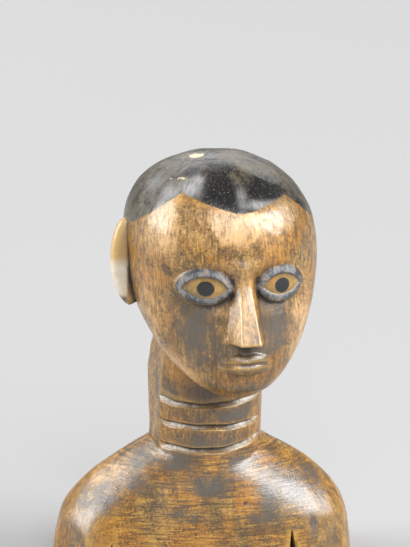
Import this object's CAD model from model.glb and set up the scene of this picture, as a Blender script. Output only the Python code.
"""Bust of a carved wooden twin figure: one carving with worn paint and a dark patina.

Sizes are in millimetres while the carving is shaped, and its mesh is stored in metres.
The figure faces -Y, and its own left hand is at +X.
"""
import math

import bpy
import numpy as np
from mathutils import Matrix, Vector
from mathutils.bvhtree import BVHTree


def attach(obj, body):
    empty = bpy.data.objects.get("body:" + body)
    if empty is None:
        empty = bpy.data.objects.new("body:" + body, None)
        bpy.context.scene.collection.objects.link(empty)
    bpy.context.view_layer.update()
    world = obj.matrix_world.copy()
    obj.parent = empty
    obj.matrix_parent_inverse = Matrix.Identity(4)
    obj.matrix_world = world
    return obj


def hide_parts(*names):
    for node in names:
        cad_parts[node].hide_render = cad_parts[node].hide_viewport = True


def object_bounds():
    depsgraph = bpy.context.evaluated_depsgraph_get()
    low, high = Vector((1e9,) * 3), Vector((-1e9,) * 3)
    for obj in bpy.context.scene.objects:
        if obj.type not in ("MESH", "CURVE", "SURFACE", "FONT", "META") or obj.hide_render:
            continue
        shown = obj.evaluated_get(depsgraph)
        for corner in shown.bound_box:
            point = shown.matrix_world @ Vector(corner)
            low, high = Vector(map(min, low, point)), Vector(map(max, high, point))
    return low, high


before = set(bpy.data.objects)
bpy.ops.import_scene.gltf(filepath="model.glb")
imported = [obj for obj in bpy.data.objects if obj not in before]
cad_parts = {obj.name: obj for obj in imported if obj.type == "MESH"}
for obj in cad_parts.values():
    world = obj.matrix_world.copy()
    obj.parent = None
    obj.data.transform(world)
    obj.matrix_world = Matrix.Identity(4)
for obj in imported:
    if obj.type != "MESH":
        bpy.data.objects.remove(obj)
cad_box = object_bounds()

MM = 0.001
UP = (0, 0, 1)

# Sizes of the bust, the same as in the part's source
TOTAL_HEIGHT = 88.0
HEAD_HEIGHT = 48.0
HEAD_WIDTH = 38.4
HEAD_FRONT = 20.5
HEAD_BACK = 21.0
HEAD_WIDEST = 0.6  # share of the head's height, up from the chin
CHIN_FRONT = 13.0
CROWN_LEAN = -1.2
HEAD_MIDDLE = (2.6, -6.6)
HEAD_TURN = math.radians(7)
NECK_RADIUS = 11.9
NECK_TAPER = 0.35
NECK_BEND = 40.0
NECK_TOP = 58.0
NECK_TURN = 5.0
NECK_SHIFT = (1.5, -4.0)  # how far the top of the neck stands off its axis
NECK_SLIMMED = (0.2, 0.3)  # share of width and of depth that it loses at the top

# A plain face on the proportions of a drawing book
CHIN = TOTAL_HEIGHT - HEAD_HEIGHT
FACE_UNIT = HEAD_HEIGHT / 3.5
EYE_LINE = CHIN + HEAD_HEIGHT / 2
BROW_LINE = CHIN + 2 * FACE_UNIT
NOSE_BASE = CHIN + FACE_UNIT
MOUTH_LINE = NOSE_BASE - FACE_UNIT / 3
EYE_WIDTH = HEAD_WIDTH / 5
EYE_APART = EYE_WIDTH
EYE_REACH = 0.54 * EYE_WIDTH
MOUTH_WIDTH = 1.4 * EYE_WIDTH
UPPER_LID_RISE = 2.4
LOWER_LID_DROP = 1.8
UPPER_LID_BAND = 1.6
LOWER_LID_BAND = 1.2
CORNER_BAND = 0.95
LID_THICKNESS = 0.48
SOCKET_DEPTH = 1.6
BROW_RISE = 0.8
MUZZLE_RISE = 1.2
CHIN_RISE = 1.1
NOSE_RISE = 5.4
WING_RISE = 0.35
LIP_HEIGHT = 2.3
UPPER_LIP_RISE = 1.25
LOWER_LIP_RISE = 1.4

# Creases of the neck: height, degrees from the middle to the end, tilt, sag
GROOVES = ((36.4, 64, 0.1, 0.55), (31.7, 55, -0.1, 0.35), (26.9, 57, 0.38, 0.55))
GROOVE_DEPTH = 0.85
GROOVE_LIP = 0.4
GROOVE_SLOPE = 1.0

# Ears: side of the head, azimuth from the front, how far it stands out
EARS = ((1, math.radians(107), 3.9), (-1, math.radians(89), 4.3))
EAR_TOP = 74.4
EAR_FOOT = 56.8
EAR_THICKNESS = 2.8
EAR_MIDDLE = 0.7
EAR_ROOT = 7.0
EAR_HOLLOW = 0.25
EAR_CURL = 0.35

# Torso: height, and half its width or its depth to the front or back
SHOULDER_LINE = ((0, 31.8), (6, 31.1), (13.5, 29), (20.2, 23.4), (24.5, 17), (27.8, 10.6))
CHEST_LINE = ((0, 14.6), (9, 14.2), (20, 12.6), (28, 11))
BACK_LINE = ((0, 14.2), (10, 14), (20, 12.8), (28, 11))
CHEST_TOP = 28
SHOULDER_TOP = 27.8
SHOULDER_END = 29.5
LEFT_SHARE = 0.985
RIGHT_SHARE = 1.012

# Wedges of air at the arms: middle, top, width of the foot, lean of the foot
ARM_GAPS = ((16.6, 9.3, 3.6, 0.6), (-20.4, 7.4, 3.4, -0.5))
GAP_TIP = 0.12
GAP_REACH = 30
GAP_FOOT = -1.0

# Planes that the knife left: azimuth from the front, elevation, distance from the middle
SKULL_MIDDLE = CHIN + 0.58 * HEAD_HEIGHT
SKULL_CUTS = ((70, 50, 19.9), (-75, 45, 21), (10, 48, 20.2), (-150, 50, 20.6), (140, 40, 20.8))
BODY_MIDDLE = 12.0
BODY_CUTS = (
    (-60, 0, 27.6),
    (-50, 45, 18.4),
    (40, 45, 17.8),
    (76, 4, 29.6),
    (150, 42, 18),
    (-148, 44, 17.8),
)
NECK_CUT = (-77, 0, 11.1)

# How finely each block is divided before it is carved
HEAD_COLUMNS = 300
BODY_COLUMNS = 216
EAR_COLUMNS = 56
EAR_ROWS = 26


# Curves
def step(start, end, x):
    """0 before one edge, 1 past the other, and a smooth step between."""
    s = np.clip((x - start) / (end - start), 0, 1)
    return s * s * (3 - 2 * s)


def mix(a, b, share):
    """From a at share 0 to b at share 1."""
    return a + (b - a) * share


def hill(x, width):
    """A round hill, 1 at its top."""
    return np.exp(-((x / width) ** 2))


def soft_max(a, b, rounding):
    """The larger of two, with the bend between them rounded."""
    return 0.5 * (a + b + np.hypot(a - b, rounding))


def soft_min(a, b, rounding):
    """The smaller of two, with the bend between them rounded."""
    return 0.5 * (a + b - np.hypot(a - b, rounding))


def dome(u, flat, power):
    """1 in the middle and 0 at the edge, where u is 1."""
    return np.maximum(0, 1 - np.abs(u) ** flat) ** power


def signed_power(x, power):
    """A power that keeps the sign of its base."""
    return np.sign(x) * np.abs(x) ** power


def facing(azimuth, elevation):
    """The way a plane faces, from degrees round from the front and degrees up."""
    a, e = math.radians(azimuth), math.radians(elevation)
    return np.array((math.sin(a) * math.cos(e), -math.cos(a) * math.cos(e), math.sin(e)))


def through(stations, z):
    """A smooth line through a few heights."""
    heights = np.array([s[0] for s in stations], float)
    sizes = np.array([s[1] for s in stations], float)
    ends = np.arange(len(stations))
    after, before = np.minimum(ends + 1, len(stations) - 1), np.maximum(ends - 1, 0)
    slopes = (sizes[after] - sizes[before]) / (heights[after] - heights[before])
    k = np.clip(np.searchsorted(heights, z, side="left") - 1, 0, len(stations) - 2)
    reach = heights[k + 1] - heights[k]
    s = np.clip((z - heights[k]) / reach, 0, 1)
    bend = reach * (slopes[k] * s * (1 - s) ** 2 - slopes[k + 1] * s * s * (1 - s))
    return mix(sizes[k], sizes[k + 1], s * s * (3 - 2 * s)) + bend


# Head
def head_section(z):
    """Half width, front, back and middle of the plain egg at each height."""
    t = np.clip((z - CHIN) / HEAD_HEIGHT, 0, 1)
    up = np.clip((t - HEAD_WIDEST) / (1 - HEAD_WIDEST), 0, 1)
    down = np.clip((HEAD_WIDEST - t) / HEAD_WIDEST, 0, 1)
    above = t > HEAD_WIDEST
    width = 0.5 * HEAD_WIDTH * np.where(above, dome(up, 2.6, 0.5), dome(down, 2.1, 0.58))
    jaw = mix(-CHIN_FRONT, -HEAD_FRONT, dome(down, 5, 0.55))
    nape = mix(-CHIN_FRONT, HEAD_BACK, dome(down, 1.9, 0.85))
    front = np.where(above, -HEAD_FRONT * dome(up, 2.4, 0.52), jaw)
    back = np.where(above, HEAD_BACK * dome(up, 2.4, 0.5), nape)
    return width, front, back, mix(front, back, 0.52)


def face_relief(x, z):
    """Height of the soft shapes of the face over the plain egg."""
    u = np.abs(x) - EYE_APART
    v = z - EYE_LINE
    socket = -SOCKET_DEPTH * np.exp(-(((u / 6.8) ** 2 + (v / 5.2) ** 2) ** 1.4))
    arch = BROW_LINE + 1.2 - 0.02 * u**2
    brow = BROW_RISE * hill(z - arch, 1.7) * step(15, 8, np.abs(x))
    muzzle = MUZZLE_RISE * np.exp(-((x / 8.5) ** 2) - ((z - MOUTH_LINE) / 6) ** 2)
    chin = CHIN_RISE * hill(x, 6.5) * hill(z - (CHIN + 0.08 * HEAD_HEIGHT), 3.2)
    return socket + brow + muzzle + chin


def eye_outside(x, z):
    """Distance out from the edge of the open eye, which is two arcs that meet in its corners."""
    u = np.abs(np.abs(x) - EYE_APART)
    v = z - EYE_LINE
    distance = np.full(np.shape(u), -9.0)
    for side, rise in ((1, UPPER_LID_RISE), (-1, LOWER_LID_DROP)):
        radius = (EYE_REACH**2 + rise**2) / (2 * rise)
        above = side * v + radius - rise
        distance = np.maximum(distance, np.hypot(u, above) - radius)
        past = (side * v >= 0) & (u * (radius - rise) > EYE_REACH * above)
        distance = np.where(past, np.hypot(u - EYE_REACH, v), distance)
    return distance


def lid_band(x, z):
    """Width of the lid beside each point, narrower towards the corners of the eye."""
    u = np.abs(np.abs(x) - EYE_APART)
    v = z - EYE_LINE
    along = np.abs(v) / (np.abs(v) + 0.5 * np.maximum(0, u - 0.4 * EYE_REACH) + 0.05)
    widest = np.where(v > 0, UPPER_LID_BAND, LOWER_LID_BAND)
    return mix(CORNER_BAND, widest, step(0, 1, along))


def eye_relief(x, z):
    """Height of the ball and its lids over the plain egg, far below it away from the eye."""
    u = np.abs(x) - EYE_APART
    v = z - EYE_LINE
    ball = 2.4 * np.sqrt(np.maximum(0, 1 - (u / 6.4) ** 2 - (v / 5.6) ** 2)) - 2.1
    outside = eye_outside(x, z)
    band = lid_band(x, z)
    lid = LID_THICKNESS * step(-0.12, 0.22, outside) * mix(1, 0.6, np.clip(outside / band, 0, 1))
    wall = -3.2 * step(0, 1.3, outside - band)
    return ball + lid + wall


def nose_rise(x, z):
    """A wedge with a flat bridge, which widens and rises towards its base."""
    top = BROW_LINE + 1
    down = np.clip((top - z) / (top - NOSE_BASE), 0, 1)
    bridge = mix(0.6, 1.9, down)
    foot = mix(2.2, 0.5 * EYE_WIDTH, down**1.2)
    rise = NOSE_RISE * (0.2 * step(0, 0.6, down) + 0.8 * down**1.3)
    side = np.clip((foot - np.abs(x)) / (foot - bridge), 0, 1)
    low = step(NOSE_BASE + 4.5, NOSE_BASE + 1.5, z)
    wing = WING_RISE * hill(np.abs(x) - 0.8 * foot, 1.0) * low
    under = step(NOSE_BASE - 0.9, NOSE_BASE + 0.1, z)
    return rise * side * under + wing * under


def lip_rise(x, z):
    """Two closed lips with blunt ends, the upper one with a shallow dip in its middle."""
    half = 0.5 * MOUTH_WIDTH
    end = np.clip(np.abs(x) / half, 0, 1)
    line = MOUTH_LINE - 0.45 * end**2 - 0.2 * hill(x, 1.6)
    body = (1 - end**2.5) ** 0.75
    upper = LIP_HEIGHT * (0.95 - 0.4 * end**2 - 0.14 * hill(x, 1.1))
    lower = LIP_HEIGHT * (1.1 - 0.55 * end**2)
    v = z - line
    share = np.where(v > 0, v / upper, -v / lower)
    profile = np.clip(1 - share, 0, 1) ** 0.5 * (0.62 + 0.5 * step(0, 0.34, share))
    rise = mix(UPPER_LIP_RISE, LOWER_LIP_RISE, step(0.3, -0.3, v)) * profile * body
    philtrum = -0.3 * hill(x, 1.0) * hill(v - LIP_HEIGHT - 1.2, 1.2)
    corner = -0.6 * hill(np.abs(x) - half - 0.1, 0.8) * hill(z - MOUTH_LINE, 1.2)
    beneath = -0.5 * hill(x, 4) * hill(z - (MOUTH_LINE - 1.6 * LIP_HEIGHT), 1.2)
    return rise + philtrum + corner + beneath


def head_surface(column, z):
    """Points of the head in its own frame, before the knife cuts."""
    width, front, back, middle = head_section(z)
    angle = math.pi * mix(column**3, column, 0.5)
    sine, cosine = np.sin(angle), np.cos(angle)
    depth = np.where(cosine > 0, middle - front, back - middle)
    lean = CROWN_LEAN * step(0.5, 1, (z - CHIN) / HEAD_HEIGHT)
    flat_x = width * signed_power(sine, 0.92)
    y = middle - depth * signed_power(cosine, 0.92)
    face = step(0, 0.3, cosine) * step(0, 3, z - CHIN)
    relief = np.maximum(face_relief(flat_x, z), eye_relief(flat_x, z))
    y = y - face * (relief + nose_rise(flat_x, z) + lip_rise(flat_x, z))
    return np.stack((flat_x + lean, y, z), 1)


def shave_skull(points):
    """Cuts the few large flats of the crown, with soft edges."""
    for azimuth, elevation, distance in SKULL_CUTS:
        normal = facing(azimuth, elevation)
        past = points @ normal - normal[2] * SKULL_MIDDLE - distance
        points = points - 0.9 * soft_max(past, 0, 0.5)[:, None] * normal
    return points


# Neck, shoulders and chest
def reach_of(cut, way, rise):
    """How far a line out from the axis runs before it meets a plane of the knife."""
    normal = facing(cut[0], cut[1])
    along = way @ normal[:2]
    return np.where(along > 0.05, (cut[2] - normal[2] * rise) / np.maximum(along, 0.05), 1e3)


def torso_radius(way, z):
    """Distance of the torso's surface from the axis, with the large flats of the knife."""
    share = np.where(way[:, 0] > 0, LEFT_SHARE, RIGHT_SHARE)
    width = through(SHOULDER_LINE, z) * share
    depth = np.where(way[:, 1] < 0, through(CHEST_LINE, z), through(BACK_LINE, z))
    square = mix(1.75, 2.6, step(26, 8, z))
    egg = np.abs(way[:, 0] / width) ** square + np.abs(way[:, 1] / depth) ** square
    radius = egg ** (-1 / square)
    for cut in BODY_CUTS:
        reach = reach_of(cut, way, z - BODY_MIDDLE)
        rounding = 3.6 if cut[1] > 20 else 1.0
        blended = soft_min(radius, np.maximum(reach, 1), rounding)
        radius = np.where(reach < radius + 14, blended + 0.07 * rounding, radius)
    return radius


def groove_lines(degrees):
    """Level and strength of each crease round the front of the neck, a little unsteady."""
    for k, (height, end, tilt, sag) in enumerate(GROOVES):
        turn = degrees / 50
        level = height + tilt * turn + sag * np.minimum(turn**2, 2)
        level = level + 0.09 * np.sin(degrees * 0.071 + 2.1 * k)
        level = level + 0.07 * np.sin(degrees * 0.19 + k)
        yield level, step(end + 10, end - 6, np.abs(degrees - NECK_TURN))


def groove_cut(degrees, z):
    """Creases with a steep upper wall and a sloping ledge below it."""
    total = 0
    for level, strength in groove_lines(degrees):
        above = np.clip((z - level) / GROOVE_LIP, 0, 1)
        below = np.clip((level - z) / GROOVE_SLOPE, 0, 1)
        uneven = 1 + 0.12 * np.sin(degrees * 0.11 + level)
        total = total + (1 - above - below) * strength * uneven
    return GROOVE_DEPTH * total


def ledge_share(points):
    """1 on the sloping ledges of the creases, and less of it in front."""
    degrees = np.degrees(np.arctan2(points[:, 0], -points[:, 1]))
    total = 0
    for level, strength in groove_lines(degrees):
        below = (level - points[:, 2]) / GROOVE_SLOPE
        sides = mix(0.1, 1, step(4, 40, np.abs(degrees - 6)))
        total = total + step(0.05, 0.35, below) * step(0.95, 0.4, below) * strength * sides
    return total


def neck_share(z):
    """0 below the chin and 1 past the top of the neck, which leans and slims on its way."""
    return step(NECK_BEND, NECK_TOP + 6, z)


def body_surface(column, z, closed):
    """Points of neck, shoulders and chest. It shuts to a point where closed is 0."""
    turn = math.pi * column
    spread = np.where(z < CHEST_TOP, through(SHOULDER_LINE, z) / through(CHEST_LINE, z), 1)
    way = np.stack((spread * np.sin(turn), -np.cos(turn)), 1)
    way /= np.linalg.norm(way, axis=1)[:, None]
    neck = np.minimum(NECK_RADIUS - NECK_TAPER * step(42, 28, z), reach_of(NECK_CUT, way, 0))
    torso = torso_radius(way, np.minimum(z, SHOULDER_TOP)) - np.maximum(0, z - SHOULDER_TOP) * 2
    torso = np.where(z < SHOULDER_END, torso, 0)
    degrees = np.degrees(np.arctan2(way[:, 0], -way[:, 1]))
    radius = (soft_max(torso, neck, 0.5) - groove_cut(degrees, z)) * closed
    top = neck_share(z)
    x = way[:, 0] * radius * (1 - NECK_SLIMMED[0] * top) + NECK_SHIFT[0] * top
    y = way[:, 1] * radius * (1 - NECK_SLIMMED[1] * top) + NECK_SHIFT[1] * top
    return np.stack((x, y, z), 1)


# Carving
def listed(items, name, width, kind=np.float32):
    """One property of all points or edges, a row for each."""
    values = np.empty(width * len(items), kind)
    items.foreach_get(name, values)
    return values.reshape(-1, width)


def coordinates(obj):
    """Places of all points of a mesh."""
    return listed(obj.data.vertices, "co", 3).astype(float)


def move_vertices(obj, points):
    """Gives the points of a mesh new places."""
    obj.data.vertices.foreach_set("co", points.astype(np.float32).ravel())
    obj.data.update()


def sphere_block(name, columns, rows):
    """A globe to carve from, with the column and the row of each of its points.

    A column runs from -1 to 1 round the globe, and is 0 in front.
    """
    bpy.ops.object.select_all(action="DESELECT")
    bpy.ops.mesh.primitive_uv_sphere_add(segments=columns, ring_count=rows, radius=1)
    block = bpy.context.object
    block.name = name
    points = coordinates(block)
    row = np.rint(np.degrees(np.arccos(np.clip(points[:, 2], -1, 1))) / 180 * rows).astype(int)
    turn = np.arctan2(points[:, 0], -points[:, 1]) / math.pi
    column = 2 * np.rint(turn * columns / 2) / columns
    return block, np.where(column < -0.9999, 1.0, column), row


def spaced(*stations):
    """Heights from the first level to the last, each stretch in its own number of steps.

    A stretch may crowd its steps towards its start or its end, where the surface turns flat.
    """
    heights = [float(stations[0][0])]
    for height, steps, crowding in stations[1:]:
        start = heights[-1]
        for s in range(1, steps + 1):
            share = s / steps
            if crowding == "end":
                share = math.sin(share * math.pi / 2)
            elif crowding == "start":
                share = 1 - math.cos(share * math.pi / 2)
            heights.append(mix(start, height, share))
    return np.array(heights)


def carve_head():
    """The head without its ears, in its own frame."""
    heights = spaced(
        (TOTAL_HEIGHT, 0, ""),
        (83, 22, "start"),
        (70, 34, "even"),
        (45, 100, "even"),
        (CHIN, 26, "end"),
    )
    head, column, row = sphere_block("head", HEAD_COLUMNS, len(heights) - 1)
    points = head_surface(column, heights[row])
    points[row == 0] = (CROWN_LEAN, 0, TOTAL_HEIGHT)
    move_vertices(head, shave_skull(points))
    return head


def carve_body():
    """Neck, shoulders and chest, with a flat top and a flat foot."""
    heights = spaced(
        (NECK_TOP, 0, ""),
        (NECK_TOP, 1, "even"),
        (37, 34, "even"),
        (24.5, 84, "even"),
        (0, 54, "even"),
        (0, 1, "even"),
    )
    body, column, row = sphere_block("body", BODY_COLUMNS, len(heights) - 1)
    closed = np.where((row == 0) | (row == len(heights) - 1), 0.0, 1.0)
    move_vertices(body, body_surface(column, heights[row], closed))
    return body


def ear_root(azimuth):
    """Where the foot of a left ear leaves the head, and the way the ear points."""
    away = np.array((math.sin(azimuth), -math.cos(azimuth), 0))
    width, _, back, middle = head_section(np.array([0.5 * (EAR_TOP + EAR_FOOT)]))
    x = 0.96 * width[0] * away[0]
    y = middle[0] + 0.96 * (back[0] - middle[0]) * away[1]
    return np.array((x, y, EAR_FOOT)), away, np.cross(away, UP)


def carve_ear(side, azimuth, out):
    """A leaf-shaped slab, hollowed in front, that stands out of the side of the head."""
    ear, column, row = sphere_block("ear", EAR_COLUMNS, EAR_ROWS)
    height = EAR_TOP - EAR_FOOT
    turn = math.pi * column
    share = np.abs(np.sin(np.pi * row / EAR_ROWS)) ** 0.8
    in_front = row <= EAR_ROWS / 2
    across, along = np.sin(turn), -np.cos(turn)
    reach = np.where(across > 0, out - EAR_MIDDLE, EAR_ROOT)
    lobe = np.where(along < 0, 1.5, 0.95)
    x = EAR_MIDDLE + reach * share * signed_power(across, lobe)
    y = 0.52 * height + 0.52 * height * share * signed_power(along, 0.95)
    edge = np.sqrt(np.maximum(0, 1 - share**7))
    hollow = EAR_HOLLOW * step(0.9, 0.3, share)
    z = np.where(in_front, 0.5 * EAR_THICKNESS * edge - hollow, -0.5 * EAR_THICKNESS * edge)
    z = z - EAR_CURL * (x / out) ** 2
    root, away, ahead = ear_root(azimuth)
    points = root + x[:, None] * away + y[:, None] * np.array(UP) + z[:, None] * ahead
    points[:, 0] *= side
    move_vertices(ear, points)
    bpy.ops.object.mode_set(mode="EDIT")
    bpy.ops.mesh.select_all(action="SELECT")
    bpy.ops.mesh.normals_make_consistent(inside=False)
    bpy.ops.object.mode_set(mode="OBJECT")
    return ear


def carve_arm_gap(x, top, width, lean):
    """The wedge of air between an arm and the chest."""
    bpy.ops.object.select_all(action="DESELECT")
    bpy.ops.mesh.primitive_cube_add(size=2, location=(0, 0, 0))
    gap = bpy.context.object
    points = coordinates(gap)
    low = points[:, 2] < 0
    foot = x + lean + 0.5 * width * points[:, 0]
    points[:, 0] = np.where(low, foot, x + GAP_TIP * points[:, 0])
    points[:, 1] *= GAP_REACH
    points[:, 2] = np.where(low, GAP_FOOT, top)
    move_vertices(gap, points)
    return gap


def set_head_on_neck(obj):
    """Turns a piece of the head to the figure's left and puts it in its place."""
    points = coordinates(obj)
    cosine, sine = math.cos(HEAD_TURN), math.sin(HEAD_TURN)
    x = points[:, 0] * cosine - points[:, 1] * sine + HEAD_MIDDLE[0]
    y = points[:, 0] * sine + points[:, 1] * cosine + HEAD_MIDDLE[1]
    move_vertices(obj, np.stack((x, y, points[:, 2]), 1))


def combine(target, other, operation):
    """Joins a block to the carving or cuts it away, and removes the block."""
    bpy.ops.object.select_all(action="DESELECT")
    bpy.context.view_layer.objects.active = target
    target.select_set(True)
    modifier = target.modifiers.new("join", "BOOLEAN")
    modifier.operation = operation
    modifier.solver = "MANIFOLD"
    modifier.object = other
    bpy.ops.object.modifier_apply(modifier=modifier.name)
    bpy.data.objects.remove(other)


def carve_bust():
    """Head, ears and body as one closed carving, with the gaps at the arms cut out."""
    head = carve_head()
    body = carve_body()
    ears = [carve_ear(*ear) for ear in EARS]
    for piece in [head, *ears]:
        set_head_on_neck(piece)
    combine(head, body, "UNION")
    for ear in ears:
        combine(head, ear, "UNION")
    for gap in ARM_GAPS:
        combine(head, carve_arm_gap(*gap), "DIFFERENCE")
    head.name = head.data.name = "carved_twin_figure"
    return head


# Marks of the tools and of handling
def normals_of(obj):
    """The way the surface faces at each point."""
    return listed(obj.data.vertices, "normal", 3).astype(float)


def edges_of(obj):
    """The two points at the ends of each edge."""
    return listed(obj.data.edges, "vertices", 2, np.int32)


def in_head_frame(points):
    """Places on the finished bust as seen from the head, before it was turned and set."""
    cosine, sine = math.cos(HEAD_TURN), math.sin(HEAD_TURN)
    x, y = points[:, 0] - HEAD_MIDDLE[0], points[:, 1] - HEAD_MIDDLE[1]
    return np.stack((x * cosine + y * sine, y * cosine - x * sine, points[:, 2]), 1)


def ear_share(local):
    """1 on the ears, 0 on the head beside them."""
    share = 0
    for side, azimuth, _ in EARS:
        root, away, ahead = ear_root(azimuth)
        out, behind = side * local[:, 0] - root[0], local[:, 1] - root[1]
        standing = step(0.9, 1.5, out * away[0] + behind * away[1])
        level = step(2.7, 2.0, np.abs(out * ahead[0] + behind * ahead[1]))
        share = np.maximum(share, standing * level)
    z = local[:, 2]
    return share * step(EAR_FOOT - 0.7, EAR_FOOT, z) * step(EAR_TOP + 0.7, EAR_TOP, z)


def face_share(local):
    """1 on the eyes, nose, mouth and ears, which keep their own crisp cuts."""
    x, z = np.abs(local[:, 0]), local[:, 2]
    eyes = step(3.6, 1.8, eye_outside(x, z))
    nose = step(6.5, 4.5, x) * step(NOSE_BASE - 2.5, NOSE_BASE, z)
    nose = nose * step(BROW_LINE + 4, BROW_LINE, z)
    mouth = step(8.5, 6.5, x) * step(5.5, 4, np.abs(z - MOUTH_LINE))
    front = step(-4, -8, local[:, 1])
    return np.maximum(ear_share(local), front * np.maximum(eyes, np.maximum(nose, mouth)))


def whittle(obj, share, strokes, depth, length, reach, bend, seed):
    """Flats left by a short blade: each stroke takes off what stands out past its own plane.

    A stroke runs about downhill, and its plane bends a little along it. It bites no deeper
    than its flanks allow, so that its edges fade.
    """
    dice = np.random.default_rng(seed)
    points, normals = coordinates(obj), normals_of(obj)
    pairs = edges_of(obj)
    span = np.linalg.norm(points[pairs[:, 0]] - points[pairs[:, 1]], axis=1) ** 2
    room = np.bincount(pairs.ravel(), np.repeat(span, 2), len(points)) * share
    for k in dice.choice(len(points), strokes, replace=False, p=room / room.sum()):
        normal = normals[k] + dice.normal(0, 0.03, 3)
        normal /= np.linalg.norm(normal)
        along = np.cross(np.cross(normal, UP), normal)
        along = along / (np.linalg.norm(along) + 1e-9)
        along += dice.normal(0, 0.3) * np.cross(normal, along)
        along /= np.linalg.norm(along)
        across = np.cross(normal, along)
        away = points - points[k]
        run, side = away @ along, away @ across
        near = (run / length) ** 2 + (side / reach) ** 2 + (away @ normal / 4) ** 2 < 1
        near = np.nonzero(near & (normals @ normal > 0.4))[0]
        run, side = run[near], side[near]
        height = away[near] @ normal + bend * run**2
        flanks = height[(np.abs(side) > 0.7 * reach) & (np.abs(run) < 0.6 * length)]
        deepest = -0.9 * np.quantile(flanks, 0.9) if len(flanks) else 0
        bite = min(depth * dice.uniform(0.5, 1.5), deepest)
        if bite > 0.01:
            edge = step(1, 0.55, (run / length) ** 2 + (side / reach) ** 2)
            edge = edge * step(0.4, 0.8, normals[near] @ normal) * share[near]
            shaving = np.minimum(soft_max(height + bite, 0, 0.02), 1.5 * bite) * edge
            points[near] -= shaving[:, None] * normal
    move_vertices(obj, points)


def unevenness(points, length, seed):
    """A slow random swell between about -1 and 1."""
    dice = np.random.default_rng(seed)
    waves, total = 24, 0
    for _ in range(waves):
        way = dice.normal(0, 1, 3)
        way *= 2 * math.pi / (length * dice.uniform(0.6, 1.7) * np.linalg.norm(way))
        total = total + np.sin(points @ way + dice.uniform(0, 6.3))
    return total / waves**0.5


def dent(obj, marks):
    """Presses small hollows into the carving: place, width along x, y and z, depth."""
    points, normals = coordinates(obj), normals_of(obj)
    for place, widths, depth in marks:
        near = ((points - place) / widths) ** 2
        points -= (depth * np.exp(-near.sum(1)))[:, None] * normals
    move_vertices(obj, points)


def spots(points, places):
    """Soft-edged spots that run together: place, width, strength."""
    left = np.ones(len(points))
    for place, widths, strength in places:
        near = ((points - place) / widths) ** 2
        left *= 1 - strength * np.exp(-near.sum(1) ** 1.3)
    return 1 - left


def smoothed(values, points, pairs, rounds):
    """Each value drawn towards those beside it, the near ones most."""
    ends = np.concatenate((pairs[:, 0], pairs[:, 1]))
    others = np.concatenate((pairs[:, 1], pairs[:, 0]))
    pull = 1 / (np.linalg.norm(points[ends] - points[others], axis=1) + 0.05)
    total = np.bincount(ends, pull, len(points))[:, None]
    for _ in range(rounds):
        columns = values.T
        around = [np.bincount(ends, column[others] * pull, len(points)) for column in columns]
        values = 0.4 * values + 0.6 * np.stack(around, 1) / total
    return values


def shut_in(obj, reach, rays):
    """How much wood stands close over each point: 0 in the open, towards 1 down in a crease."""
    tree = BVHTree.FromObject(obj, bpy.context.evaluated_depsgraph_get())
    points, normals = coordinates(obj), normals_of(obj)
    side = np.cross(normals, np.where(np.abs(normals[:, 2:]) < 0.9, UP, (1, 0, 0)))
    side /= np.linalg.norm(side, axis=1)[:, None]
    other = np.cross(normals, side)
    starts = (points + 0.03 * normals).tolist()
    total = np.zeros(len(points))
    for k in range(rays):
        rise = ((k + 0.5) / rays) ** 0.5
        flat, turn = (1 - rise**2) ** 0.5, 2.4 * k
        ways = rise * normals + flat * (math.cos(turn) * side + math.sin(turn) * other)
        hits = [tree.ray_cast(start, way, reach)[3] for start, way in zip(starts, ways.tolist())]
        total += [0 if hit is None else 1 - hit / reach for hit in hits]
    return total / rays


def hairline(local):
    """Distance in from the edge of the painted hair, in millimetres."""
    corners = np.array([(math.radians(a) * HAIR_REACH, height) for a, height in HAIR_EDGE])
    azimuth = np.arctan2(local[:, 0], -local[:, 1])
    place = np.stack((azimuth * HAIR_REACH, local[:, 2]), 1)
    distance = np.full(len(local), 1e3)
    for start, end in zip(corners[:-1], corners[1:]):
        along = end - start
        share = np.clip((place - start) @ along / (along @ along), 0, 1)
        off = place - start - share[:, None] * along
        distance = np.minimum(distance, np.linalg.norm(off, axis=1))
    edge = np.interp(place[:, 0], corners[:, 0], corners[:, 1])
    distance = np.where(place[:, 1] > edge, distance, -distance)
    return np.where(ear_share(local) > 0.4, -6, distance)


def wrapped(points, radius, down):
    """Places on a barrel of one radius, and the way down it."""
    out = np.hypot(points[:, 0], points[:, 1]) + 0.1
    return np.stack((radius * points[:, 0] / out, radius * points[:, 1] / out, down), 1)


def along_the_grain(points, local):
    """Place round the figure and down it, so that strokes run down every slope."""
    z = points[:, 2]
    out = np.hypot(local[:, 0], local[:, 1])
    head = wrapped(local, 18, 21 * np.arctan2(out, local[:, 2] - SKULL_MIDDLE))
    body = wrapped(points, 16, 90 + np.hypot(points[:, 0], points[:, 1]) - z)
    top = neck_share(z)
    x = (points[:, 0] - NECK_SHIFT[0] * top) / (1 - NECK_SLIMMED[0] * top)
    y = (points[:, 1] - NECK_SHIFT[1] * top) / (1 - NECK_SLIMMED[1] * top)
    on_head = (z > CHIN - 1) & (np.hypot(x, y) > NECK_RADIUS + 0.25)
    return np.where(on_head[:, None], head, body)


def keep_layers(obj, **layers):
    """Keeps a value or a place at each point of the carving, for its finish."""
    for name, values in layers.items():
        kind, field = ("FLOAT", "value") if values.ndim == 1 else ("FLOAT_VECTOR", "vector")
        layer = obj.data.attributes.new(name, kind, "POINT")
        layer.data.foreach_set(field, values.astype(np.float32).ravel())


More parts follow.
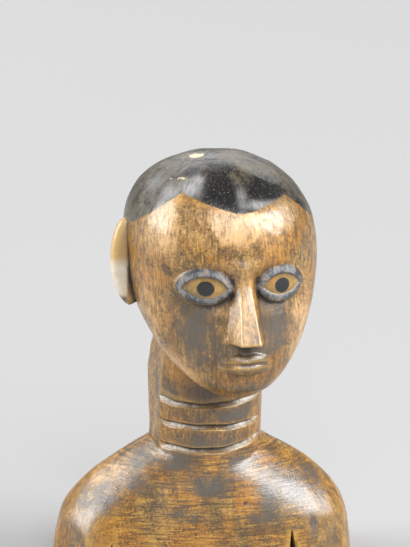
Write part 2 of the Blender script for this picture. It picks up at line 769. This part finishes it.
def wear(obj):
    """Knife flats, a slight swell and small dents, kept inside the box of the plain solid."""
    points = coordinates(obj)
    local = in_head_frame(points)
    z = points[:, 2]
    low = step(46, 34, z) * step(-3, 1, local[:, 1] + (z - 36) * 2)
    on_head = step(CHIN - 1, CHIN + 4, z) * (1 - low)
    foot = step(0.4, 1.5, z)
    plain = 1 - face_share(local)
    in_groove = np.clip(sum(hill(z - groove[0], 1.8) for groove in GROOVES), 0, 1)
    skull = plain * on_head * step(66, 74, z)
    cheeks = plain * on_head * step(74, 66, z)
    neck_base = hill(z - 27, 4) * step(19, 15, np.hypot(points[:, 0], points[:, 1]))
    body = (1 - on_head) * foot * (1 - in_groove) * (1 - neck_base)
    whittle(obj, skull, strokes=80, depth=0.2, length=8, reach=4.2, bend=0.012, seed=11)
    whittle(obj, cheeks, strokes=60, depth=0.08, length=8, reach=3.2, bend=0.012, seed=12)
    whittle(obj, body, strokes=140, depth=0.07, length=8, reach=3.0, bend=0.004, seed=13)
    points, normals = coordinates(obj), normals_of(obj)
    swell = 0.03 * unevenness(points, length=5, seed=21) * (0.25 + 0.75 * plain)
    swell = swell + 0.012 * unevenness(points, length=1.6, seed=22) * plain
    swollen = points + (swell * foot)[:, None] * normals
    box_low, box_high = (np.array(corner) / MM for corner in cad_box)
    move_vertices(obj, np.clip(swollen, box_low, box_high))
    dent(obj, DENTS)


def take_stock(obj):
    """What the finish needs to know of each point: hollows, ridges, hair, eyes and stains."""
    points, normals, pairs = coordinates(obj), normals_of(obj), edges_of(obj)
    local = in_head_frame(points)
    z = points[:, 2]
    proud = ((points - smoothed(points, points, pairs, 8)) * normals).sum(1)
    crease = smoothed(shut_in(obj, reach=1.8, rays=14)[:, None], points, pairs, 2)[:, 0]
    hollow = smoothed(shut_in(obj, reach=9, rays=14)[:, None], points, pairs, 4)[:, 0]
    ear = ear_share(local)
    front = local[:, 1] < -6
    outside = eye_outside(local[:, 0], local[:, 2])
    lid = np.where(front, outside / lid_band(local[:, 0], local[:, 2]), 9)
    gaze = np.hypot(np.abs(local[:, 0]) - EYE_APART, 1.08 * (local[:, 2] - EYE_LINE - 0.1))
    keep_layers(
        obj,
        grain=along_the_grain(points, local),
        ledge=ledge_share(points) * step(13.5, 12.5, np.hypot(points[:, 0], points[:, 1])),
        proud=smoothed(proud[:, None], points, pairs, 2)[:, 0],
        crease=crease * step(0.55, 0.2, normals[:, 2]),
        hollow=hollow,
        hair=np.clip(hairline(local), -6, 6),
        ear=ear,
        lobe=ear * step(67.2, 65.0, z),
        darkened=np.maximum(ear * step(59.4, 58.4, z), spots(points, DARKENED)),
        lid=np.clip(lid, -4, 4),
        eyeball=np.where(front, np.clip(outside, -4, 4), 4),
        pupil=np.where(front, np.clip(gaze, 0, 6), 6),
        patina=spots(points, PATINA),
        honey=spots(points, HONEY),
        rubbed=spots(points, RUBBED),
        scuffed=spots(points, SCUFFED),
        bare=spots(points, BARE),
        fresh=spots(points, FRESH_PAINT),
        chest=step(30, 25, z) * step(26, 18, np.abs(points[:, 0])),
    )


# Radius at which distances along the hair's edge are measured
HAIR_REACH = 17.0

# Painted hair: azimuth on the head and height of its edge
HAIR_EDGE = (
    (-180, 57), (-128, 59), (-107, 65), (-96, 74), (-80, 74.5), (-61, 77.5),
    (-41, 81.9), (-15, 79.5), (-4, 78.4), (6, 78.5), (17, 79.4), (37, 80.8),
    (53, 77), (68, 74.4), (113, 74), (124, 65), (140, 59), (180, 57),
)

# A worm's pinhole in the chest
PINHOLE = (7.0, -13.0, 15.6)

# Small damage: place, width along x, y and z, depth
DENTS = (
    ((-2.7, -8.8, 87.4), (1.4, 1.3, 0.8), 0.3),
    ((-8.5, -15.1, 83.7), (0.7, 0.8, 0.35), 0.15),
    ((7.0, -13.1, 15.5), (0.32, 0.8, 0.45), 0.5),
    ((21.4, -11.3, 10.2), (0.35, 0.9, 1.5), 0.3),
    ((9.3, -24.4, 76.7), (0.4, 0.9, 0.5), 0.2),
    ((-21.2, -6.0, 9.5), (0.5, 1.0, 0.6), 0.2),
    ((14.5, 9.0, 22.0), (0.8, 0.9, 0.6), 0.2),
    ((-9.0, 11.0, 76.0), (0.8, 0.9, 0.6), 0.2),
)

# Dark, greyish handling dirt: place, width along x, y and z, strength
PATINA = (
    ((-7.1, -10.7, 23.8), (3.6, 3.5, 2.0), 0.9),
    ((5.5, -11.0, 23.4), (3.4, 3.5, 1.7), 0.75),
    ((-0.9, -12.8, 19.3), (5.0, 4.0, 2.2), 0.75),
    ((-5.3, -13.5, 13.7), (3.6, 4.0, 1.6), 0.5),
    ((11.7, -12.0, 17.0), (1.5, 4.0, 3.8), 0.85),
    ((11.0, -12.9, 12.6), (4.5, 4.0, 1.8), 0.55),
    ((-15.6, -10.0, 19.2), (4.5, 4.0, 2.0), 0.6),
    ((5.5, -10.3, 33.9), (3.5, 4.0, 1.3), 0.8),
    ((21.4, -11.3, 9.8), (0.7, 3.0, 2.4), 0.8),
    ((17.5, -9.8, 17.4), (6.0, 4.0, 3.4), 0.7),
    ((-22.5, -7.0, 15.5), (5.0, 4.0, 4.6), 0.65),
    ((-14.0, -5.7, 23.6), (3.5, 3.0, 2.2), 0.5),
    ((-1.0, -12.0, 28.0), (9.0, 4.0, 2.8), 0.6),
    ((0.0, -12.0, 34.0), (9.0, 5.0, 1.8), 0.4),
    ((0.0, -11.0, 38.8), (9.5, 6.0, 1.8), 0.5),
    ((22.0, -3.8, 19.5), (3.6, 2.6, 3.2), 0.6),
    ((24.5, -9.0, 9.0), (5.0, 5.0, 8.0), 0.35),
    ((-26.5, -7.0, 7.0), (4.0, 5.0, 7.0), 0.3),
    ((-9.5, -8.0, 38.0), (2.5, 4.0, 2.0), 0.5),
    ((12.0, -26.0, 56.0), (5.0, 6.0, 7.0), 0.7),
    ((-4.5, -26.0, 56.0), (4.5, 6.0, 8.0), 0.72),
    ((4.0, -27.0, 51.0), (6.5, 6.0, 2.6), 0.45),
    ((5.0, -25.0, 43.5), (6.0, 6.0, 1.8), 0.4),
    ((0.0, 16.0, 24.0), (9.0, 6.0, 5.0), 0.5),
    ((4.0, 14.0, 52.0), (9.0, 9.0, 4.0), 0.4),
)

# Deep brown under the chin: place, width along x, y and z, strength
DARKENED = (((0.0, -11.0, 38.8), (10.0, 6.0, 2.2), 0.55),)

# Warm orange places where the wood shows clean: place, width along x, y and z, strength
HONEY = (
    ((-4.4, -13.0, 16.9), (2.6, 4.0, 3.0), 0.8),
    ((0.5, -11.0, 24.0), (3.6, 4.0, 1.8), 0.5),
    ((-19.0, -9.0, 8.0), (6.0, 8.0, 5.0), 0.7),
    ((-7.0, -13.5, 7.0), (7.0, 5.0, 4.5), 0.8),
    ((7.5, -13.0, 15.5), (3.2, 4.0, 2.6), 0.6),
    ((20.0, -9.0, 5.0), (6.0, 8.0, 5.0), 0.7),
    ((4.0, -24.5, 75.0), (3.5, 5.0, 3.0), 0.5),
    ((14.5, -17.0, 48.0), (4.0, 8.0, 4.0), 0.6),
    ((-5.0, -17.0, 46.0), (5.0, 8.0, 4.0), 0.7),
)

# Pale golden places that hands have rubbed clean: place, width along x, y and z, strength
RUBBED = (
    ((4.0, -25.0, 76.0), (8.5, 6.0, 4.6), 0.95),
    ((-10.0, -20.0, 75.5), (4.6, 6.0, 5.8), 0.95),
    ((-12.5, -17.0, 58.0), (3.5, 6.0, 8.0), 0.35),
    ((-6.0, -19.0, 47.0), (4.0, 6.0, 4.0), 0.6),
    ((16.5, -19.0, 56.0), (3.0, 5.0, 9.0), 0.7),
    ((3.0, -29.0, 60.0), (3.5, 5.0, 9.0), 0.7),
    ((-22.0, -3.0, 20.0), (6.0, 5.0, 5.0), 0.4),
)

# Scuffed, lighter grey places in the hair: place, width along x, y and z, strength
SCUFFED = (
    ((-4.9, -20.0, 82.8), (2.0, 3.0, 1.9), 0.95),
    ((-8.4, -18.6, 81.8), (2.4, 3.0, 1.4), 0.55),
    ((-3.2, -18.7, 84.3), (1.0, 2.0, 0.9), 0.7),
    ((4.8, -22.0, 81.2), (0.9, 3.0, 2.0), 0.5),
    ((8.2, -22.6, 79.6), (3.6, 3.0, 0.8), 0.7),
    ((-11.5, -12.0, 82.5), (2.5, 3.0, 1.6), 0.4),
)

# Hair where the black is still whole: place, width along x, y and z, strength
FRESH_PAINT = (
    ((0.6, -21.5, 81.9), (3.2, 4.0, 3.2), 1.0),
    ((10.3, -19.4, 82.4), (3.6, 4.0, 1.9), 0.95),
    ((4.5, -22.5, 79.5), (3.0, 4.0, 1.3), 0.7),
    ((-4.2, -15.5, 85.6), (1.7, 1.6, 1.2), 0.8),
    ((-0.2, -12.5, 87.1), (1.6, 3.0, 1.2), 0.6),
    ((1.4, -16.0, 86.0), (2.0, 3.0, 1.6), 0.8),
    ((16.0, -18.0, 77.5), (1.8, 4.0, 2.2), 0.7),
    ((6.0, 4.0, 80.0), (9.0, 8.0, 6.0), 0.7),
)

# Bare pale wood and scratches: place, width along x, y and z, strength
BARE = (
    ((-2.7, -8.8, 87.4), (1.7, 1.5, 0.9), 1.0),
    ((-8.7, -15.1, 83.7), (0.9, 0.8, 0.25), 0.7),
    ((-6.2, -16.6, 84.1), (2.4, 1.8, 0.25), 0.66),
)


# Finish
class Value:
    """A number or colour that varies over the surface, and takes part in sums."""

    def __init__(self, recipe, socket):
        self.recipe, self.socket = recipe, socket

    def combined(self, operation, first, second):
        return self.recipe.node("ShaderNodeMath", {"operation": operation}, {0: first, 1: second})

    def __add__(self, other):
        return self.combined("ADD", self, other)

    __radd__ = __add__

    def __sub__(self, other):
        return self.combined("SUBTRACT", self, other)

    def __rsub__(self, other):
        return self.combined("SUBTRACT", other, self)

    def __mul__(self, other):
        return self.combined("MULTIPLY", self, other)

    __rmul__ = __mul__

    def rising(self, start, end):
        """0 up to start, 1 from end on, smooth between. It falls where end is below start."""
        settings = {"interpolation_type": "SMOOTHSTEP"}
        low, high, at_low, at_high = (start, end, 0, 1) if start < end else (end, start, 1, 0)
        levels = {"Value": self, "From Min": low, "From Max": high}
        levels.update({"To Min": at_low, "To Max": at_high})
        return self.recipe.node("ShaderNodeMapRange", settings, levels)

    def clipped(self):
        """Held between 0 and 1."""
        return self.recipe.node("ShaderNodeClamp", {}, {"Value": self})


class Recipe:
    """The nodes of one finish, with places in millimetres."""

    def __init__(self, name):
        self.material = bpy.data.materials.new(name)
        self.material.use_nodes = True
        self.tree = self.material.node_tree
        self.shader = self.tree.nodes["Principled BSDF"]
        place = self.node("ShaderNodeTexCoord", {}, {}, "Object")
        self.place = self.stretched(place, (1000, 1000, 1000))

    def node(self, kind, settings, inputs, output=0):
        """Adds a node, sets it, feeds it, and gives back one of its outputs."""
        node = self.tree.nodes.new(kind)
        for name, value in settings.items():
            setattr(node, name, value)
        for name, value in inputs.items():
            self.feed(node.inputs[name], value)
        return Value(self, node.outputs[output])

    def feed(self, socket, value):
        """Links a varying value to a socket, or sets a plain number or colour on it."""
        if isinstance(value, Value):
            self.tree.links.new(value.socket, socket)
        elif socket.type == "RGBA":
            socket.default_value = (*value, 1)
        else:
            socket.default_value = value

    def stretched(self, place, factors):
        return self.node("ShaderNodeVectorMath", {"operation": "MULTIPLY"}, {0: place, 1: factors})

    def distance_from(self, point):
        places = {0: self.place, 1: point}
        return self.node("ShaderNodeVectorMath", {"operation": "DISTANCE"}, places, "Value")

    def noise(self, factors, detail, roughness, bend=0.0, place=None):
        """A noise from 0 to 1, with so many waves per millimetre along x, y and z."""
        levels = {"Vector": self.stretched(place or self.place, factors), "Scale": 1.0}
        levels.update({"Detail": detail, "Roughness": roughness, "Distortion": bend})
        return self.node("ShaderNodeTexNoise", {}, levels)

    def layer(self, name, output="Fac"):
        """What was kept at each point of the carving under this name."""
        return self.node("ShaderNodeAttribute", {"attribute_name": name}, {}, output)

    def blend(self, under, over, share):
        """One colour laid over another."""
        return self.node("ShaderNodeMix", {"data_type": "RGBA"}, {0: share, 6: under, 7: over}, 2)


# Colours of wood, dirt and paint
OCHRE = (0.40, 0.185, 0.023)
AMBER = (0.35, 0.12, 0.007)
STRAW = (0.54, 0.33, 0.08)
PALE = (0.85, 0.58, 0.31)
SCUFF = (0.42, 0.42, 0.415)
BROWN = (0.07, 0.032, 0.008)
FILM = (0.062, 0.04, 0.02)
DIRT = (0.02, 0.012, 0.007)
GREY_DIRT = (0.11, 0.103, 0.092)
BLACK_PAINT = (0.006, 0.006, 0.007)
WORN_PAINT = (0.135, 0.11, 0.07)
BLUE_GREY = (0.16, 0.18, 0.20)
CREAM = (0.68, 0.56, 0.36)
CHALK = (0.74, 0.69, 0.60)


def handled_wood():
    """Oiled hardwood with dark handling dirt, and worn black and grey paint."""
    r = Recipe("handled_wood")
    grain = r.layer("grain", "Vector")
    streaks = r.noise((0.7, 0.7, 0.12), 5, 0.65, 0.3, grain)
    threads = r.noise((2.4, 2.4, 0.36), 5, 0.72, 0.3, grain)
    clouds = r.noise((0.13, 0.13, 0.10), 3, 0.6)
    blotches = r.noise((0.38, 0.38, 0.3), 5, 0.7, 0.5)
    specks = r.noise((2.6, 2.6, 2.2), 3, 0.7)
    scrapes = r.noise((0.2, 0.2, 2.9), 5, 0.68, 0.3)
    chest, ear, patina = r.layer("chest"), r.layer("ear"), r.layer("patina")
    honey, rubbed_clean = r.layer("honey"), r.layer("rubbed")
    crease, hollow, proud = r.layer("crease"), r.layer("hollow"), r.layer("proud")
    eye_edge, bare_places = r.layer("eyeball"), r.layer("bare")

    # Clean wood, with strokes that run level over the chest and down elsewhere
    strokes = threads * (1 - chest) + scrapes * chest
    wood = r.blend(OCHRE, AMBER, streaks.rising(0.4, 0.62) * 0.5)
    wood = r.blend(wood, STRAW, clouds.rising(0.46, 0.64) * 0.5)
    wood = r.blend(wood, AMBER, honey * blotches.rising(0.35, 0.6) * 0.6)
    wood = r.blend(wood, STRAW, strokes.rising(0.48, 0.34) * 0.45)
    wood = r.blend(wood, BROWN, strokes.rising(0.5, 0.64) * (0.4 + 0.2 * chest))
    speckled = 0.25 + 0.6 * blotches.rising(0.4, 0.6)
    wood = r.blend(wood, BROWN, specks.rising(0.51, 0.62) * speckled)
    wood = r.blend(wood, STRAW, (specks * 0.6 + strokes * 0.4).rising(0.46, 0.36) * 0.6)
    thin = (blotches * 0.5 + threads * 0.5).rising(0.66, 0.34)
    wood = r.blend(wood, PALE, rubbed_clean * (0.2 + 0.8 * thin))

    # A film of handling dirt, worn off in patches
    film = blotches * (0.5 - 0.1 * chest) + strokes * (0.3 + 0.17 * chest)
    film = film + clouds * 0.2 + specks * 0.32
    film = film + patina * 0.16 - honey * 0.14 - rubbed_clean * 0.1 - chest * 0.02
    wood = r.blend(wood, FILM, film.rising(0.53, 0.8) * (0.92 - 0.55 * ear))

    # More dirt where hands held it, in hollows and in the pinhole
    held = 0.4 * blotches.rising(0.3, 0.65) + 0.55 * strokes.rising(0.38, 0.6)
    held = held + 0.5 * specks.rising(0.36, 0.6)
    held = (patina * (0.06 + held)).clipped()
    wood = r.blend(wood, GREY_DIRT, held * 0.85)
    in_hollows = hollow.rising(0.05, 0.36) * (0.45 + 0.6 * blotches)
    soiled = (crease.rising(0.06, 0.34) * 0.7 + in_hollows).clipped()
    wood = r.blend(wood, DIRT, soiled * (1 - 0.8 * ear))
    wood = r.blend(wood, DIRT, r.distance_from(PINHOLE).rising(0.6, 0.3) * 0.9)

    # Paler ridges, ears and ledges of the creases, and eyes darker towards their rims
    wood = r.blend(wood, STRAW, (proud.rising(0.02, 0.09) * 0.4 + 0.6 * ear).clipped())
    chalky = 0.22 * blotches + r.layer("lobe") * (0.2 + 0.8 * blotches)
    wood = r.blend(wood, CHALK, ear * chalky.clipped())
    wood = r.blend(wood, BROWN, r.layer("darkened") * 0.9)
    worn = r.layer("ledge") * (blotches * 1.3 + threads * 0.7 + streaks).rising(1.2, 1.75)
    wood = r.blend(wood, CHALK, worn * 0.85)
    eyeball = eye_edge.rising(0.1, -0.1)
    wood = r.blend(wood, STRAW, eyeball * 0.35)
    rim = eyeball * eye_edge.rising(-1.2, 0.1)
    wood = r.blend(wood, FILM, rim * (0.2 + 0.6 * blotches))

    # Black hair paint, rubbed through to brown in patches, speckled, and scuffed grey
    edge = r.layer("hair") + (specks - 0.5) * 0.5 + (threads - 0.5) * 0.5
    painted = edge.rising(-0.1, 0.12)
    rubbed = blotches * 0.6 + specks * 0.35 + threads * 0.25 + clouds * 0.15
    rubbed = (rubbed - r.layer("fresh") * 0.34).rising(0.56, 0.78)
    paint = r.blend(BLACK_PAINT, WORN_PAINT, rubbed)
    paint = r.blend(paint, BROWN, specks.rising(0.54, 0.66) * rubbed * 0.6)
    paint = r.blend(paint, BLACK_PAINT, (threads * 0.5 + specks * 0.5).rising(0.5, 0.6) * 0.6)
    paint = r.blend(paint, WORN_PAINT, specks.rising(0.44, 0.34) * 0.8)
    paint = r.blend(paint, CREAM, (specks * 0.8 + threads * 0.2).rising(0.37, 0.3) * 0.5)
    scuffed = r.layer("scuffed") * (0.5 + 0.5 * threads.rising(0.35, 0.6) + 0.3 * blotches)
    paint = r.blend(paint, SCUFF, scuffed.clipped() * 0.8)
    colour = r.blend(wood, paint, painted)

    # Grey-blue lids with a dark line at both edges, and black pupils
    lid_edge = r.layer("lid") + (specks - 0.5) * 0.25
    lids = lid_edge.rising(-0.05, 0.06) * lid_edge.rising(1.15, 0.95)
    brushed = blotches * 0.7 + specks * 0.4
    lid_paint = r.blend(BLUE_GREY, BLACK_PAINT, brushed.rising(0.5, 0.64) * 0.9)
    lid_paint = r.blend(lid_paint, wood, brushed.rising(0.52, 0.42) * 0.75)
    outer_line = lid_edge.rising(0.6, 0.9) * blotches.rising(0.4, 0.58) * 0.9
    lid_line = lid_edge.rising(0.2, 0.06) * 0.8 + outer_line
    lid_paint = r.blend(lid_paint, BLACK_PAINT, lid_line)
    colour = r.blend(colour, lid_paint, lids * 0.95)
    pupil = (r.layer("pupil") + (specks - 0.5) * 0.35).rising(1.75, 1.5)
    pupil = pupil * eye_edge.rising(0.1, -0.05)
    colour = r.blend(colour, BLACK_PAINT, pupil)

    # Chips and scratches down to pale wood, with broken edges
    bare = (bare_places + (specks - 0.5) * 0.8 + (blotches - 0.5) * 0.6).rising(0.42, 0.52)
    bare = bare * bare_places.rising(0.02, 0.1)
    colour = r.blend(colour, CREAM, bare)

    # Polished by hands, duller in dirt and on bare wood, paint a little sharper
    rough = 0.29 + 0.2 * (specks - 0.5) + 0.3 * (strokes - 0.5) + 0.15 * soiled + 0.3 * bare
    rough = rough - 0.05 * held - 0.06 * rubbed_clean
    rough = rough + painted * (0.2 * rubbed - 0.05) + 0.26 * lids - 0.12 * pupil

    # Grain and strokes, in millimetres
    height = 0.045 * (streaks - 0.5) + 0.075 * (threads - 0.5) * (1 - chest)
    height = height + 0.06 * chest * (scrapes - 0.5) + 0.02 * (specks - 0.5)
    height = (height - 0.02 * painted * rubbed) * (1 - 0.8 * pupil)
    levels = {"Height": height, "Distance": MM, "Strength": 1.0}
    sockets = r.shader.inputs
    r.feed(sockets["Base Color"], colour)
    r.feed(sockets["Roughness"], rough.clipped())
    r.feed(sockets["Normal"], r.node("ShaderNodeBump", {}, levels, "Normal"))
    sockets["Specular IOR Level"].default_value = 0.7
    sockets["IOR"].default_value = 1.55
    return r.material


bust = carve_bust()
wear(bust)
take_stock(bust)
move_vertices(bust, coordinates(bust) * MM)
for polygon in bust.data.polygons:
    polygon.use_smooth = True
bust.data.materials.clear()
bust.data.materials.append(handled_wood())

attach(bust, "root")
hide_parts("carved_bust")


# Studio, in metres
FLOOR_SIZE = 8
FLOOR_NEAR = (0.41, 0.41, 0.413)
FLOOR_FAR = (0.53, 0.53, 0.536)
FLOOR_FADE = 1.6

# Softboxes: name, place, target, size and power
SOFTBOXES = (
    ("backdrop", (0.1, 1.6, 1.2), (0, 0, 0.05), (2.0, 1.0), 13),
    ("window_right", (1.54, -0.66, 1.08), (0, 0, 0.05), (1.35, 0.8), 49),
    ("window_left", (-1.87, 0.1, 0.72), (0, 0, 0.06), (0.78, 1.25), 35),
    ("left_back", (-1.3, 0.6, 1.2), (0, 0, 0.05), (0.8, 0.7), 8),
    ("front_top", (0.2, -1.5, 1.3), (0, 0, 0.06), (1.3, 1.1), 24),
)


def add_floor():
    """Pale card that grows lighter behind the figure."""
    bpy.ops.object.select_all(action="DESELECT")
    bpy.ops.mesh.primitive_plane_add(size=FLOOR_SIZE, location=(0, 0, 0))
    floor = bpy.context.object
    floor.name = "pale_floor"
    card = Recipe("pale_card")
    behind = card.node("ShaderNodeSeparateXYZ", {}, {"Vector": card.place}, 1) * MM
    shade = card.blend(FLOOR_NEAR, FLOOR_FAR, behind.rising(0.0, FLOOR_FADE))
    card.feed(card.shader.inputs["Base Color"], shade)
    card.shader.inputs["Roughness"].default_value = 0.9
    floor.data.materials.append(card.material)


def add_softbox(name, place, target, size, power):
    """A white rectangle of light that faces its target."""
    lamp = bpy.data.lights.new(name, "AREA")
    lamp.shape = "RECTANGLE"
    lamp.size, lamp.size_y = size
    lamp.energy = power
    obj = bpy.data.objects.new(name, lamp)
    bpy.context.scene.collection.objects.link(obj)
    obj.location = place
    obj.rotation_euler = (Vector(target) - Vector(place)).to_track_quat("-Z", "Y").to_euler()


def add_room_light():
    """Faint, slightly blue light from all round."""
    world = bpy.data.worlds.new("studio")
    bpy.context.scene.world = world
    world.use_nodes = True
    background = world.node_tree.nodes["Background"]
    background.inputs["Color"].default_value = (0.97, 0.98, 1, 1)
    background.inputs["Strength"].default_value = 0.25
    bpy.context.scene.view_settings.view_transform = "Standard"


def add_camera():
    """About half a metre away, a little above the figure and to its right."""
    azimuth, elevation, distance = math.radians(-6), math.radians(13), 0.5
    target = Vector((0, 0, 0.061))
    back = Vector((
        math.sin(azimuth) * math.cos(elevation),
        -math.cos(azimuth) * math.cos(elevation),
        math.sin(elevation),
    ))
    lens = bpy.data.cameras.new("camera")
    lens.sensor_fit = "VERTICAL"
    lens.sensor_height = 36
    lens.lens = 160.5
    lens.clip_start = 0.01
    camera = bpy.data.objects.new("camera", lens)
    bpy.context.scene.collection.objects.link(camera)
    camera.location = target + distance * back
    camera.rotation_euler = (-back).to_track_quat("-Z", "Y").to_euler()
    bpy.context.scene.camera = camera


add_floor()
for softbox in SOFTBOXES:
    add_softbox(*softbox)
add_room_light()
add_camera()
